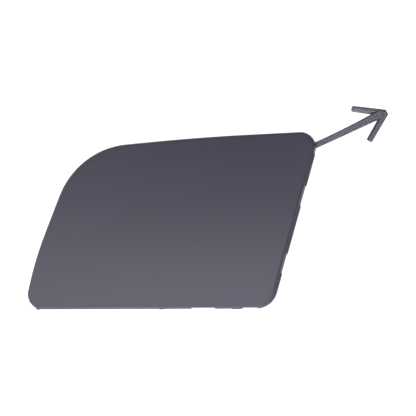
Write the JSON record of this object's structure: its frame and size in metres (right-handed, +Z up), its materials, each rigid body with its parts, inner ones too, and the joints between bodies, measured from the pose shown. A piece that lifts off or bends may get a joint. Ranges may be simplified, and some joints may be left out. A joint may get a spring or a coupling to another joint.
{
  "type": "bumper tow hook cover",
  "caption": "Crowned plastic plate that closes the tow eye opening of a car bumper, with snap clips and hooks behind it and a barbed, arrow-ended tether at its upper corner.",
  "frame": {"origin": "middle of the rim's bottom run, half-way across the rim's flat rear edge, which seats on the bumper", "axes": "+X along the straight bottom edge, to the right as seen from the front; +Z up the cover; +Y rearwards into the bumper, so the visible face looks along -Y"},
  "size_m": [0.1467, 0.0165, 0.08],
  "materials": {
    "plastic": "dark grey, smooth satin-matte moulded plastic"
  },
  "bodies": {
    "root": {"tow_hook_cover": "plastic"}
  },
  "joints": []
}
